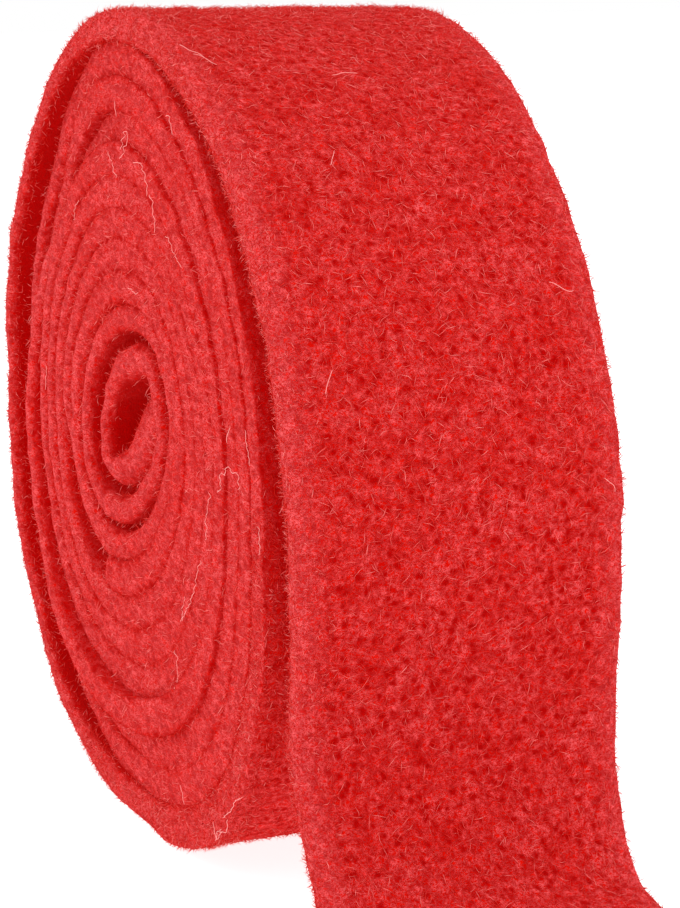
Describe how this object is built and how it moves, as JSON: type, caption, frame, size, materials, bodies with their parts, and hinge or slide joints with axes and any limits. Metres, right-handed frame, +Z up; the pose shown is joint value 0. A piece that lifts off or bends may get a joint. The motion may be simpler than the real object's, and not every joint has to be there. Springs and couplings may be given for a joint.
{
  "type": "roll of felt ribbon",
  "caption": "Roll of thick red felt ribbon standing on its edge, with an open eye and a loose end that hangs down the front and lies flat.",
  "frame": {"origin": "on the surface, in the middle of the small flat spot that the roll rests on", "axes": "+Z up, +X from the roll towards the end of the loose ribbon, Y along the roll's axis"},
  "size_m": [0.1522, 0.0333, 0.0781],
  "materials": {
    "felt": "matt needle-punched felt with a short fibre pile"
  },
  "bodies": {
    "root": {"felt_roll": "felt", "felt_loose_end": "felt"}
  },
  "joints": []
}
